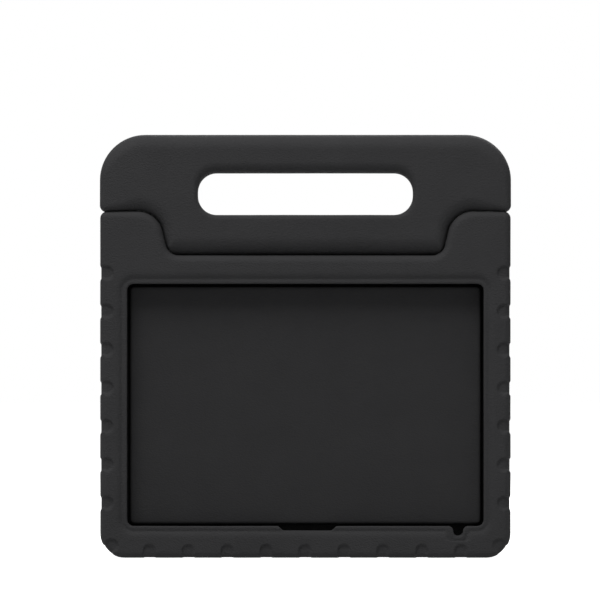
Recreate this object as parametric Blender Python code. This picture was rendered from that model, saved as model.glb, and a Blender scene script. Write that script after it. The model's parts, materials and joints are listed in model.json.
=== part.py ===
"""A moulded foam tablet case for children, with a carry handle that folds back as a stand.

Metres, +Z up, the screen side facing -Y. The case stands on its bottom edge and the
origin is the middle of that edge, on the surface it stands on.

The frame and the handle are two foam mouldings. The handle's lower edge is a round
barrel that sits between two shoulders of the frame and turns there on plastic pegs.
"""

from math import cos, pi, radians, sin, sqrt, tan

import bmesh
import bpy

# The tablet that the case is made for, and how it is held
TABLET_WIDTH = 0.1954
TABLET_HEIGHT = 0.1348
TABLET_THICKNESS = 0.0063
TABLET_CORNER = 0.0070
TABLET_CLEARANCE = 0.0004
POCKET_DEPTH_CLEARANCE = 0.0005
LIP_OVERLAP = 0.00385
LIP_THICKNESS = 0.0038

# Foam walls round the pocket, and the frame's edges
SIDE_WALL = 0.0101
BOTTOM_WALL = 0.0130
TOP_WALL = 0.0115
CASE_THICKNESS = 0.0204
BOTTOM_CORNER = 0.0130
SHOULDER_CORNER = 0.0035
SIDE_ROUND = 0.0040
BOTTOM_ROUND = 0.0032
TOP_ROUND = 0.0030

# The window in the front, with its sloped surround, crease and rolled rim
WINDOW_CORNER = 0.0034
SURROUND_WIDTH = 0.0053
SURROUND_DROP = 0.0009
RIM_WIDTH = 0.0024
RIM_ROLL_DROP = 0.0015
CREASE_WIDTH = 0.0005
CREASE_DEPTH = 0.0004

# The raised pad on the pocket's floor, and the channel round it
PAD_EDGE_GAP = 0.0016
PAD_CORNER = 0.0040
CHANNEL_DEPTH = 0.0040

# Notches in the lower lip
WIDE_NOTCH_X = 0.0010
WIDE_NOTCH_TOP = 0.0308
WIDE_NOTCH_BOTTOM = 0.0256
WIDE_NOTCH_DEPTH = 0.0023
SMALL_NOTCH_X = 0.0805
SMALL_NOTCH_WIDTH = 0.0050
SMALL_NOTCH_MOUTH = 0.0082
SMALL_NOTCH_DEPTH = 0.0043

# Grip recesses along the sides and the bottom
RECESS_DEPTH = 0.0009
RECESS_WIDTH = 0.0074
SIDE_RECESS_REACH = 0.0064
BOTTOM_RECESS_REACH = 0.0070
SIDE_RECESSES = 7
SIDE_RECESS_FIRST = 0.0287
SIDE_RECESS_PITCH = 0.0202
BOTTOM_RECESSES = 9
BOTTOM_RECESS_PITCH = 0.0205
BOTTOM_RECESS_WIDTH = 0.0065

# Opening for the charging plug in one side wall
PORT_WIDTH = 0.0116
PORT_HEIGHT = 0.0060
PORT_CORNER = 0.0027

# The hinge: barrel, parting line and running gaps
BARREL_ALLOWANCE = 0.00065
PARTING_GAP = 0.0004
BARREL_SKIM = 0.00005
BACK_RELIEF = 0.0004
SHOULDER_WIDTH = 0.03292
PARTING_SLOPE = radians(76)
PARTING_INNER_RADIUS = 0.0068
PARTING_OUTER_RADIUS = 0.0130

# The handle
HANDLE_OVERHANG = 0.0002
HANDLE_RISE = 0.0517
HANDLE_TOP_CORNER = 0.0240
HANDLE_FOOT_CORNER = 0.0030
HANDLE_TOP_ROUND = 0.0096
HANDLE_SIDE_ROUND = 0.0040
HANDLE_FOOT_ROUND = 0.0026
HANDLE_WING_ROUND = 0.0060
HANDLE_TONGUE_ROUND = 0.0045
GRIP_LENGTH = 0.1134
GRIP_HEIGHT = 0.0219
GRIP_ABOVE_AXIS = 0.0094
GRIP_CORNER = 0.0100
GRIP_ROUND = 0.0050

# The plastic pegs and sockets of the hinge
PLASTIC_GAP = 0.0003
PEG_SHANK_LENGTH = 0.0125
PEG_SHANK_RADIUS = 0.0030
PEG_BARB_RADIUS = 0.0038
PEG_BARB_LENGTH = 0.0030
PEG_BARB_PITCH = 0.0044
PEG_BARBS = 2
PEG_TAPER = 0.0006
PEG_CHAMFER = 0.0008
PEG_FLANGE_RADIUS = 0.0044
PEG_FLANGE_THICKNESS = 0.0014
PEG_FLANGE_SETBACK = 0.0012
JOURNAL_RADIUS = 0.0026
JOURNAL_REACH = 0.0135
PEG_HEAD_RADIUS = 0.0031
PEG_HEAD_LENGTH = 0.0024
SNAP_SLOPE = 0.0003
SOCKET_SETBACK = 0.0034
SOCKET_WALL = 0.0015
SOCKET_FLANGE_STEP = 0.0008
SOCKET_FLANGE_THICKNESS = 0.0014
SOCKET_FLOOR = 0.0018
SOCKET_LEAD_IN = 0.0008

# How finely the curves are stepped
ROUND_STEPS = 4
CORNER_STEPS = 6
TOP_CORNER_STEPS = 9
TIP_STEPS = 7
TURNED_STEPS = 28
BARREL_STEPS = 44
OVERSHOOT = 0.0020
SKIM = 0.0001
STEP_FACE = 0.00001
WELD = 0.000002
CREASE_ANGLE = radians(32)

# Sizes that follow from the ones above
HALF_DEPTH = CASE_THICKNESS / 2
POCKET_HALF_WIDTH = TABLET_WIDTH / 2 + TABLET_CLEARANCE
POCKET_HEIGHT = TABLET_HEIGHT + 2 * TABLET_CLEARANCE
POCKET_BOTTOM = BOTTOM_WALL
POCKET_MIDDLE = POCKET_BOTTOM + POCKET_HEIGHT / 2
POCKET_ROOF = -HALF_DEPTH + LIP_THICKNESS
PAD_TOP = POCKET_ROOF + TABLET_THICKNESS + POCKET_DEPTH_CLEARANCE
WINDOW_HALF_WIDTH = TABLET_WIDTH / 2 - LIP_OVERLAP
WINDOW_HALF_HEIGHT = TABLET_HEIGHT / 2 - LIP_OVERLAP
WINDOW_BOTTOM = POCKET_MIDDLE - WINDOW_HALF_HEIGHT
CASE_HALF_WIDTH = POCKET_HALF_WIDTH + SIDE_WALL
HANDLE_HALF_WIDTH = CASE_HALF_WIDTH + HANDLE_OVERHANG
BARREL_RADIUS = HALF_DEPTH + BARREL_ALLOWANCE
PARTING_HEIGHT = BARREL_RADIUS + BARREL_SKIM + PARTING_GAP / 2
AXIS_Z = POCKET_BOTTOM + POCKET_HEIGHT + TOP_WALL + PARTING_GAP / 2 + PARTING_HEIGHT
TONGUE_HALF_WIDTH = CASE_HALF_WIDTH - SHOULDER_WIDTH


def material(name, colour, roughness):
    """A plain Principled material."""
    made = bpy.data.materials.new(name)
    made.use_nodes = True
    shader = made.node_tree.nodes["Principled BSDF"]
    shader.inputs["Base Color"].default_value = (*colour, 1.0)
    shader.inputs["Roughness"].default_value = roughness
    shader.inputs["Metallic"].default_value = 0.0
    return made


def loft(name, rings):
    """A closed solid through rings that have the same number of points."""
    mesh = bmesh.new()
    loops = [[mesh.verts.new(point) for point in ring] for ring in rings]
    count = len(rings[0])
    for lower, upper in zip(loops, loops[1:]):
        for i in range(count):
            j = (i + 1) % count
            mesh.faces.new((lower[i], lower[j], upper[j], upper[i]))
    mesh.faces.new(loops[0])
    mesh.faces.new(loops[-1])
    return finish(name, mesh)


def finish(name, mesh):
    """Turn the faces outward and put the mesh into the scene as an object."""
    bmesh.ops.remove_doubles(mesh, verts=mesh.verts, dist=1e-7)
    bmesh.ops.recalc_face_normals(mesh, faces=mesh.faces)
    data = bpy.data.meshes.new(name)
    mesh.to_mesh(data)
    mesh.free()
    piece = bpy.data.objects.new(name, data)
    bpy.context.collection.objects.link(piece)
    return piece


def combine(piece, tool, operation):
    """Cut with, join to or intersect with another solid, which is used up."""
    step = piece.modifiers.new(operation, "BOOLEAN")
    step.operation = operation
    step.solver = "EXACT"
    step.object = tool
    bpy.context.view_layer.update()
    evaluated = piece.evaluated_get(bpy.context.evaluated_depsgraph_get())
    result = bpy.data.meshes.new_from_object(evaluated)
    piece.modifiers.clear()
    old = piece.data
    piece.data = result
    bpy.data.meshes.remove(old)
    bpy.data.objects.remove(tool)


def cut(piece, tool):
    combine(piece, tool, "DIFFERENCE")


def join(piece, tool):
    combine(piece, tool, "UNION")


def box(low, high):
    """A block between two corners."""
    (x0, y0, z0), (x1, y1, z1) = low, high
    ring = [(x0, z0), (x1, z0), (x1, z1), (x0, z1)]
    return loft("block", [[(x, y, z) for x, z in ring] for y in (y0, y1)])


def arc(centre, radius, start, end, steps):
    """Points on an arc in the front view, angles in degrees."""
    cx, cz = centre
    angles = [radians(start + (end - start) * i / steps) for i in range(steps + 1)]
    return [(cx + radius * cos(a), cz + radius * sin(a)) for a in angles]


def rounded_rectangle(centre, half_width, half_height, corner, grow=0.0, steps=CORNER_STEPS):
    """The outline of a rectangle with round corners, made larger by grow."""
    cx, cz = centre
    inner_x = half_width - corner
    inner_z = half_height - corner
    signs = [(1, -1), (1, 1), (-1, 1), (-1, -1)]
    points = []
    for (sx, sz), start in zip(signs, (-90, 0, 90, 180)):
        middle = (cx + sx * inner_x, cz + sz * inner_z)
        points += arc(middle, corner + grow, start, start + 90, steps)
    return points


def place_ring(outline, y):
    return [(x, y, z) for x, z in outline]


def turned(name, profile, steps):
    """A solid turned about the hinge axis from (x, radius) points."""
    rings = []
    for x, radius in profile:
        angles = [2 * pi * (i + 0.5) / steps for i in range(steps)]
        rings.append([(x, radius * cos(a), AXIS_Z + radius * sin(a)) for a in angles])
    return loft(name, rings)


def inset_outline(outline, distances):
    """Move each point of a closed outline inward by its own distance."""
    moved = []
    count = len(outline)
    for i, (x, z) in enumerate(outline):
        normals = []
        for a, b in ((outline[i - 1], (x, z)), ((x, z), outline[(i + 1) % count])):
            length = sqrt((b[0] - a[0]) ** 2 + (b[1] - a[1]) ** 2)
            normals.append(((b[1] - a[1]) / length, (a[0] - b[0]) / length))
        nx = normals[0][0] + normals[1][0]
        nz = normals[0][1] + normals[1][1]
        scale = distances[i] * 2 / (nx * nx + nz * nz)
        moved.append((x - nx * scale, z - nz * scale))
    return moved


def moulded_slab(name, outline, rounds, shrink=0.0):
    """A slab with a rounded edge whose radius may change along its outline."""
    half = HALF_DEPTH - shrink
    radii = [max(r - shrink, r / 4) for r in rounds]
    rings = []
    for side in (-1, 1):
        steps = range(ROUND_STEPS + 1) if side < 0 else range(ROUND_STEPS, -1, -1)
        for k in steps:
            angle = radians(90 * k / ROUND_STEPS)
            inward = [r * (1 - sin(angle)) + shrink for r in radii]
            flat = inset_outline(outline, inward)
            depths = [side * (half - r * (1 - cos(angle))) for r in radii]
            rings.append([(x, y, z) for (x, z), y in zip(flat, depths)])
    return loft(name, rings)


def parting_curve(shift):
    """The S-shaped line between frame and handle on the right, moved towards the handle.

    It runs outward: from the tongue's flat lower edge, round its corner, up the slope
    and round on to the flat top of the shoulder.
    """
    inner = PARTING_INNER_RADIUS
    outer = PARTING_OUTER_RADIUS
    slope = PARTING_SLOPE
    inner_height = PARTING_HEIGHT - inner * (1 - cos(slope))
    outer_height = PARTING_HEIGHT - outer * (1 - cos(slope))
    inner_x = TONGUE_HALF_WIDTH - inner_height / tan(slope) - inner * sin(slope)
    outer_x = TONGUE_HALF_WIDTH + outer_height / tan(slope) + outer * sin(slope)
    turn = slope * 180 / pi
    lower = (inner_x, AXIS_Z - PARTING_HEIGHT + inner)
    upper = (outer_x, AXIS_Z + PARTING_HEIGHT - outer)
    points = arc(lower, inner - shift, -90, -90 + turn, CORNER_STEPS)
    points += arc(upper, outer + shift, 90 + turn, 90, CORNER_STEPS)
    return points


def mirrored(right):
    """A closed outline from the points of its right half."""
    return right + [(-x, z) for x, z in reversed(right)]


def mirrored_values(right):
    return right + list(reversed(right))


def frame_outline():
    """The frame's outline in the front view, with the edge radius at each point."""
    gap = -PARTING_GAP / 2
    top = AXIS_Z + PARTING_HEIGHT + gap
    corner = (CASE_HALF_WIDTH - BOTTOM_CORNER, BOTTOM_CORNER)
    shoulder = (CASE_HALF_WIDTH - SHOULDER_CORNER, top - SHOULDER_CORNER)
    parting = list(reversed(parting_curve(gap)))
    lower = arc(corner, BOTTOM_CORNER, -90, 0, CORNER_STEPS)
    upper = arc(shoulder, SHOULDER_CORNER, 0, 90, ROUND_STEPS)
    points = lower + upper + parting
    rounds = []
    for i in range(len(lower)):
        share = i / CORNER_STEPS
        rounds.append(BOTTOM_ROUND + (SIDE_ROUND - BOTTOM_ROUND) * share)
    rounds += [TOP_ROUND] * (len(upper) + len(parting))
    return mirrored(points), mirrored_values(rounds)


def handle_outline():
    """The handle's outline in the front view, with the edge radius at each point."""
    gap = PARTING_GAP / 2
    under = AXIS_Z + PARTING_HEIGHT + gap
    top = AXIS_Z + HANDLE_RISE
    parting = parting_curve(gap)
    foot = (HANDLE_HALF_WIDTH - HANDLE_FOOT_CORNER, under + HANDLE_FOOT_CORNER)
    crown = (HANDLE_HALF_WIDTH - HANDLE_TOP_CORNER, top - HANDLE_TOP_CORNER)
    wing_end = HANDLE_HALF_WIDTH - HANDLE_FOOT_CORNER - HANDLE_WING_ROUND
    lower = arc(foot, HANDLE_FOOT_CORNER, -90, 0, ROUND_STEPS)
    upper = arc(crown, HANDLE_TOP_CORNER, 0, 90, TOP_CORNER_STEPS)
    side_start = (HANDLE_HALF_WIDTH, under + HANDLE_FOOT_CORNER + HANDLE_SIDE_ROUND)
    points = parting + [(wing_end, under)] + lower + [side_start] + upper
    rounds = []
    for i in range(len(parting)):
        share = max(0.0, (i - CORNER_STEPS - 1) / CORNER_STEPS)
        rounds.append(HANDLE_TONGUE_ROUND + (HANDLE_WING_ROUND - HANDLE_TONGUE_ROUND) * share)
    rounds += [HANDLE_WING_ROUND] + [HANDLE_FOOT_ROUND] * len(lower) + [HANDLE_SIDE_ROUND]
    for i in range(len(upper)):
        share = (1 - cos(pi * i / TOP_CORNER_STEPS)) / 2
        rounds.append(HANDLE_SIDE_ROUND + (HANDLE_TOP_ROUND - HANDLE_SIDE_ROUND) * share)
    return mirrored(points), mirrored_values(rounds)


def recess_outline(width, reach):
    """A tongue-shaped outline that points along +Z and starts below its own origin."""
    half = width / 2
    tip = arc((0.0, reach - half), half, 0, 180, TIP_STEPS)
    return [(half, -OVERSHOOT)] + tip + [(-half, -OVERSHOOT)]


def recess_cutter(x, z, turn, width, reach):
    """A recess's cutter, through the whole depth, pointing inward from the edge."""
    outline = []
    for u, v in recess_outline(width, reach):
        outline.append((x + u * cos(turn) - v * sin(turn), z + u * sin(turn) + v * cos(turn)))
    far = HALF_DEPTH + OVERSHOOT
    return loft("recess", [place_ring(outline, -far), place_ring(outline, far)])


def press_recesses(frame, core):
    """Press the grip recesses into the edge, down to a slightly smaller core."""
    for k in range(SIDE_RECESSES):
        z = SIDE_RECESS_FIRST + k * SIDE_RECESS_PITCH
        for side in (-1, 1):
            x = side * CASE_HALF_WIDTH
            cut(frame, recess_cutter(x, z, side * pi / 2, RECESS_WIDTH, SIDE_RECESS_REACH))
    for k in range(BOTTOM_RECESSES):
        x = (k - (BOTTOM_RECESSES - 1) / 2) * BOTTOM_RECESS_PITCH
        cut(frame, recess_cutter(x, 0.0, 0.0, BOTTOM_RECESS_WIDTH, BOTTOM_RECESS_REACH))
    corner = BOTTOM_CORNER * (1 - sqrt(0.5))
    for side in (-1, 1):
        x = side * (CASE_HALF_WIDTH - corner)
        cut(frame, recess_cutter(x, corner, side * pi / 4, RECESS_WIDTH, SIDE_RECESS_REACH))
    join(frame, core)


def window_cutter():
    """The window: sloped surround, crease, rolled rim and the wall of the lip."""
    face = -HALF_DEPTH
    drop = face + SURROUND_DROP
    reach = RIM_WIDTH + SURROUND_WIDTH
    slope = SURROUND_WIDTH / SURROUND_DROP
    profile = [(reach + SKIM * slope, face - SKIM), (RIM_WIDTH, drop)]
    profile.append((RIM_WIDTH - CREASE_WIDTH / 2, drop + CREASE_DEPTH))
    roll_width = RIM_WIDTH - CREASE_WIDTH
    for k in range(ROUND_STEPS + 1):
        angle = radians(90 * k / ROUND_STEPS)
        profile.append((roll_width * cos(angle), drop + RIM_ROLL_DROP * (1 - cos(angle))))
    centre = (0.0, POCKET_MIDDLE)
    profile.append((0.0, POCKET_ROOF + OVERSHOOT))
    rings = []
    for grow, y in profile:
        outline = rounded_rectangle(
            centre, WINDOW_HALF_WIDTH, WINDOW_HALF_HEIGHT, WINDOW_CORNER, grow)
        rings.append(place_ring(outline, y))
    return loft("window", rings)


def pocket_cutter():
    """The pocket with the channel round its raised pad."""
    centre = (0.0, POCKET_MIDDLE)
    half_height = POCKET_HEIGHT / 2
    outline = rounded_rectangle(centre, POCKET_HALF_WIDTH, half_height, TABLET_CORNER)
    floor = PAD_TOP + CHANNEL_DEPTH
    cutter = loft("pocket", [place_ring(outline, POCKET_ROOF), place_ring(outline, floor)])
    half_width = WINDOW_HALF_WIDTH - PAD_EDGE_GAP
    pad_height = WINDOW_HALF_HEIGHT - PAD_EDGE_GAP
    pad = rounded_rectangle(centre, half_width, pad_height, PAD_CORNER)
    end = floor + OVERSHOOT
    cut(cutter, loft("pad", [place_ring(pad, PAD_TOP), place_ring(pad, end)]))
    return cutter


def notch_cutter(outline):
    """A notch through the lower lip, open to the window and to the pocket."""
    start = -HALF_DEPTH - OVERSHOOT
    return loft("notch", [place_ring(outline, start), place_ring(outline, POCKET_ROOF + OVERSHOOT)])


def wide_notch_outline():
    """A trapezoid in the middle of the lower lip."""
    low = WINDOW_BOTTOM - WIDE_NOTCH_DEPTH
    slope = (WIDE_NOTCH_TOP - WIDE_NOTCH_BOTTOM) / 2 / WIDE_NOTCH_DEPTH
    top_half = WIDE_NOTCH_TOP / 2 + slope * OVERSHOOT
    high = WINDOW_BOTTOM + OVERSHOOT
    bottom_half = WIDE_NOTCH_BOTTOM / 2
    x = WIDE_NOTCH_X
    return [(x - bottom_half, low), (x + bottom_half, low), (x + top_half, high), (x - top_half, high)]


def small_notch_outline():
    """A round-ended notch whose mouth flares into the window's edge."""
    half = SMALL_NOTCH_WIDTH / 2
    flare = (SMALL_NOTCH_MOUTH - SMALL_NOTCH_WIDTH) / 2
    x = SMALL_NOTCH_X
    low = WINDOW_BOTTOM - SMALL_NOTCH_DEPTH
    bottom = arc((x, low + half), half, 180, 360, CORNER_STEPS)
    right = arc((x + half + flare, WINDOW_BOTTOM - flare), flare, 180, 90, ROUND_STEPS)
    left = arc((x - half - flare, WINDOW_BOTTOM - flare), flare, 90, 0, ROUND_STEPS)
    high = WINDOW_BOTTOM + OVERSHOOT
    lid = [(right[-1][0], high), (left[0][0], high)]
    return bottom + right + lid + left


def port_cutter():
    """The opening for the charging plug, through the right side wall."""
    z = SIDE_RECESS_FIRST + SIDE_RECESS_PITCH * (SIDE_RECESSES // 2 - 0.5)
    y = (POCKET_ROOF + PAD_TOP) / 2
    half = PORT_HEIGHT / 2
    shape = rounded_rectangle((y, z), half, PORT_WIDTH / 2, PORT_CORNER)
    ends = (POCKET_HALF_WIDTH - OVERSHOOT, CASE_HALF_WIDTH + OVERSHOOT)
    return loft("port", [[(x, a, b) for a, b in shape] for x in ends])


def frame_back_relief():
    """What the handle sweeps behind the shoulders and the frame's top edge."""
    far = HALF_DEPTH + OVERSHOOT
    high = AXIS_Z + PARTING_HEIGHT + OVERSHOOT
    low = AXIS_Z - PARTING_HEIGHT - PARTING_GAP / 2 - BACK_RELIEF
    wall = TONGUE_HALF_WIDTH + PARTING_GAP / 2
    relief = box((-wall, 0.0, low), (wall, far, high))
    for side in (-1, 1):
        ends = sorted((side * (wall - OVERSHOOT), side * (CASE_HALF_WIDTH + OVERSHOOT)))
        block = box((ends[0], 0.0, AXIS_Z), (ends[1], far, high))
        shrink = PARTING_GAP / 2 + BACK_RELIEF
        curve = [(x, z - AXIS_Z) for x, z in parting_curve(-shrink) if z > AXIS_Z + BACK_RELIEF]
        curve = [(wall, BACK_RELIEF)] + [p for p in curve if p[0] > wall]
        curve.append((CASE_HALF_WIDTH + 2 * OVERSHOOT, curve[-1][1]))
        cut(block, turned("shoulder", [(side * x, r) for x, r in curve], BARREL_STEPS))
        join(relief, block)
    return relief


def handle_back_relief():
    """What the frame takes up behind the handle's wings and round its barrel."""
    far = HALF_DEPTH + OVERSHOOT
    low = AXIS_Z - PARTING_HEIGHT - OVERSHOOT
    high = AXIS_Z + PARTING_HEIGHT + PARTING_GAP / 2 + BACK_RELIEF
    wall = TONGUE_HALF_WIDTH - PARTING_GAP / 2
    relief = box((-wall - OVERSHOOT, 0.0, low), (wall + OVERSHOOT, far, AXIS_Z))
    shrink = PARTING_GAP / 2 + BACK_RELIEF
    curve = [(x, AXIS_Z - z) for x, z in parting_curve(shrink) if z < AXIS_Z - BACK_RELIEF]
    curve = [p for p in curve if p[0] < wall] + [(wall, BACK_RELIEF)]
    profile = [(-x, r) for x, r in reversed(curve)] + curve
    cut(relief, turned("barrel", profile, BARREL_STEPS))
    for side in (-1, 1):
        ends = sorted((side * wall, side * (HANDLE_HALF_WIDTH + OVERSHOOT)))
        join(relief, box((ends[0], 0.0, low), (ends[1], far, high)))
    return relief


def barrel_front_cutter():
    """What rounds the tongue's lower front edge into the barrel."""
    centre = AXIS_Z - BARREL_ALLOWANCE
    low = AXIS_Z - PARTING_HEIGHT - OVERSHOOT
    reach = TONGUE_HALF_WIDTH + OVERSHOOT
    far = HALF_DEPTH + OVERSHOOT
    block = box((-reach, -far, low), (reach, 0.0, centre))
    rings = []
    for x in (-reach - OVERSHOOT, reach + OVERSHOOT):
        ring = []
        for k in range(BARREL_STEPS):
            angle = 2 * pi * (k + 0.5) / BARREL_STEPS
            ring.append((x, HALF_DEPTH * cos(angle), centre + HALF_DEPTH * sin(angle)))
        rings.append(ring)
    cut(block, loft("barrel", rings))
    return block


def grip_cutter():
    """The hand opening, with rounded edges on both faces."""
    centre = (0.0, AXIS_Z + GRIP_ABOVE_AXIS + GRIP_HEIGHT / 2)
    profile = []
    for k in range(ROUND_STEPS):
        angle = radians(90 * k / ROUND_STEPS)
        profile.append((GRIP_ROUND * (1 - cos(angle)), HALF_DEPTH - GRIP_ROUND * (1 - sin(angle))))
    profile.append((GRIP_ROUND + SKIM, HALF_DEPTH + SKIM))
    profile = [(g, -y) for g, y in reversed(profile)] + profile
    rings = []
    for grow, y in profile:
        outline = rounded_rectangle(centre, GRIP_LENGTH / 2, GRIP_HEIGHT / 2, GRIP_CORNER, grow)
        rings.append(place_ring(outline, y))
    return loft("grip", rings)


def peg_profile(side, swell=0.0):
    """The peg from its barbed shank, past its flange, to the snap head of the journal."""
    flange_end = TONGUE_HALF_WIDTH - PEG_FLANGE_SETBACK
    flange_start = flange_end - PEG_FLANGE_THICKNESS
    shank_start = flange_start - PEG_SHANK_LENGTH
    tip = TONGUE_HALF_WIDTH + JOURNAL_REACH
    profile = [(shank_start - swell, PEG_SHANK_RADIUS - PEG_TAPER + swell)]
    for k in range(PEG_BARBS):
        start = shank_start + PEG_CHAMFER + k * PEG_BARB_PITCH
        profile.append((start, PEG_SHANK_RADIUS + swell))
        profile.append((start + PEG_BARB_LENGTH, PEG_BARB_RADIUS + swell))
        profile.append((start + PEG_BARB_LENGTH + SNAP_SLOPE, PEG_SHANK_RADIUS + swell))
    profile += [(flange_start - swell, PEG_SHANK_RADIUS + swell)]
    profile += [(flange_start - swell + STEP_FACE, PEG_FLANGE_RADIUS + swell)]
    if swell:
        profile.append((TONGUE_HALF_WIDTH + SOCKET_SETBACK, PEG_FLANGE_RADIUS + swell))
    else:
        profile.append((flange_end, PEG_FLANGE_RADIUS))
        profile.append((flange_end + STEP_FACE, JOURNAL_RADIUS))
        profile.append((tip - PEG_HEAD_LENGTH, JOURNAL_RADIUS))
        profile.append((tip - PEG_HEAD_LENGTH + SNAP_SLOPE, PEG_HEAD_RADIUS))
        profile.append((tip - PEG_CHAMFER, PEG_HEAD_RADIUS))
        profile.append((tip, JOURNAL_RADIUS - PEG_CHAMFER))
    return [(side * x, r) for x, r in profile]


def socket_outside(side, swell=0.0):
    """The outside of the socket: a flange at its mouth and a plain cup behind it."""
    cup = JOURNAL_RADIUS + PLASTIC_GAP + SOCKET_WALL
    mouth = TONGUE_HALF_WIDTH + SOCKET_SETBACK
    step = mouth + SOCKET_FLANGE_THICKNESS
    end = TONGUE_HALF_WIDTH + JOURNAL_REACH + PLASTIC_GAP + SOCKET_FLOOR
    start = TONGUE_HALF_WIDTH - PARTING_GAP if swell else mouth
    profile = [(start, cup + SOCKET_FLANGE_STEP + swell)]
    profile.append((step + swell, cup + SOCKET_FLANGE_STEP + swell))
    profile.append((step + swell + STEP_FACE, cup + swell))
    profile.append((end + swell, cup + swell))
    return [(side * x, r) for x, r in profile]


def socket_bore(side):
    """The socket's bore, with the groove that the peg's head snaps into."""
    tip = TONGUE_HALF_WIDTH + JOURNAL_REACH
    groove = tip - PEG_HEAD_LENGTH - PLASTIC_GAP
    mouth = TONGUE_HALF_WIDTH + SOCKET_SETBACK
    slide = JOURNAL_RADIUS + PLASTIC_GAP
    profile = [(mouth - OVERSHOOT, slide + OVERSHOOT + SOCKET_LEAD_IN)]
    profile.append((mouth + SOCKET_LEAD_IN, slide))
    profile.append((groove, slide))
    profile.append((groove + SNAP_SLOPE, PEG_HEAD_RADIUS + PLASTIC_GAP))
    profile.append((tip + PLASTIC_GAP, PEG_HEAD_RADIUS + PLASTIC_GAP))
    return [(side * x, r) for x, r in profile]


def make_frame(foam):
    """The one-piece foam frame and back."""
    outline, rounds = frame_outline()
    frame = moulded_slab("case_body", outline, rounds)
    core = moulded_slab("core", outline, rounds, RECESS_DEPTH)
    press_recesses(frame, core)
    cut(frame, pocket_cutter())
    cut(frame, window_cutter())
    cut(frame, notch_cutter(wide_notch_outline()))
    cut(frame, notch_cutter(small_notch_outline()))
    cut(frame, port_cutter())
    cut(frame, frame_back_relief())
    for side in (-1, 1):
        cut(frame, turned("bore", socket_outside(side, PLASTIC_GAP), TURNED_STEPS))
    dress(frame, foam)


def make_handle(foam):
    """The one-piece foam handle, with its origin on the hinge axis."""
    outline, rounds = handle_outline()
    handle = moulded_slab("handle", outline, rounds)
    cut(handle, grip_cutter())
    cut(handle, handle_back_relief())
    cut(handle, barrel_front_cutter())
    for side in (-1, 1):
        cut(handle, turned("bore", peg_profile(side, PLASTIC_GAP), TURNED_STEPS))
    dress(handle, foam)
    return handle


def make_socket(side, word, plastic):
    """A plastic socket, pressed into a shoulder of the frame."""
    socket = turned("hinge_socket_" + word, socket_outside(side), TURNED_STEPS)
    cut(socket, turned("bore", socket_bore(side), TURNED_STEPS))
    dress(socket, plastic)


def make_peg(side, word, plastic):
    """A plastic peg, anchored in the handle's tongue by its barbs."""
    peg = turned("hinge_peg_" + word, peg_profile(side), TURNED_STEPS)
    dress(peg, plastic)
    return peg


def dress(piece, look):
    """Clean up a finished piece, and give it its material and smooth shading."""
    mesh = bmesh.new()
    mesh.from_mesh(piece.data)
    bmesh.ops.remove_doubles(mesh, verts=mesh.verts, dist=WELD)
    bmesh.ops.triangulate(mesh, faces=[f for f in mesh.faces if len(f.verts) > 4])
    mesh.to_mesh(piece.data)
    mesh.free()
    piece.data.materials.clear()
    piece.data.materials.append(look)
    piece.data.shade_smooth()
    piece.data.set_sharp_from_angle(angle=CREASE_ANGLE)


def hang_on_axis(pieces):
    """Put the moving pieces under an empty that lies on the hinge axis."""
    pivot = bpy.data.objects.new("handle_pivot", None)
    pivot.location = (0.0, 0.0, AXIS_Z)
    bpy.context.collection.objects.link(pivot)
    bpy.context.view_layer.update()
    for piece in pieces:
        piece.parent = pivot
        piece.matrix_parent_inverse = pivot.matrix_world.inverted()


def main():
    for old in list(bpy.data.objects):
        bpy.data.objects.remove(old)
    foam = material("charcoal_foam", (0.032, 0.032, 0.034), 0.82)
    plastic = material("black_plastic", (0.012, 0.012, 0.013), 0.45)
    make_frame(foam)
    moving = [make_handle(foam)]
    for side, word in ((-1, "left"), (1, "right")):
        make_socket(side, word, plastic)
        moving.append(make_peg(side, word, plastic))
    hang_on_axis(moving)


main()
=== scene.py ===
# %% [markdown]
# # A foam tablet case with a folding handle
#
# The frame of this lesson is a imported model: plain solids at their real size and place.
# Here the two foam mouldings get their fine shape, and everything gets its finish.
# Everything is in metres, +Z is up and the screen side faces -Y.

# %% Load the frame
import json
from math import cos, pi, radians, sin, sqrt, tan

import bmesh
import bpy
from mathutils import Matrix, Vector, noise


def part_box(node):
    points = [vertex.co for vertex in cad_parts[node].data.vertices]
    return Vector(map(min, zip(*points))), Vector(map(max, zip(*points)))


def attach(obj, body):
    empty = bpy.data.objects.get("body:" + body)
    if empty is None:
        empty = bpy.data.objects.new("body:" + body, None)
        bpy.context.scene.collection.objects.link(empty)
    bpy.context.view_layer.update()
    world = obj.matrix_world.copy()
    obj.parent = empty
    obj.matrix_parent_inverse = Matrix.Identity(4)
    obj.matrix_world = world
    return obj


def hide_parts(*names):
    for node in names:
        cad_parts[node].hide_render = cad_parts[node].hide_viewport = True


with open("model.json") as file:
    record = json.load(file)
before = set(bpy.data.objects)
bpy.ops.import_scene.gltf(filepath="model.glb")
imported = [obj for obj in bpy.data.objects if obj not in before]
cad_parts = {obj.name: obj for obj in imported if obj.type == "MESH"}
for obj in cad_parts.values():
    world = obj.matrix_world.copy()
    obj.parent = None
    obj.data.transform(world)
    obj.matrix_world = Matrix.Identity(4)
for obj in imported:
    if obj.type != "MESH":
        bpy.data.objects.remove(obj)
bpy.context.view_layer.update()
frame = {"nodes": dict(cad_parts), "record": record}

# %% [markdown]
# ## Sizes
#
# What the frame can give is read from it: the outer boxes and the hinge's height. The rest
# are the mouldings' own sizes in millimetres, as measured on the photograph. A size that
# only one step needs stands at that step.

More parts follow.
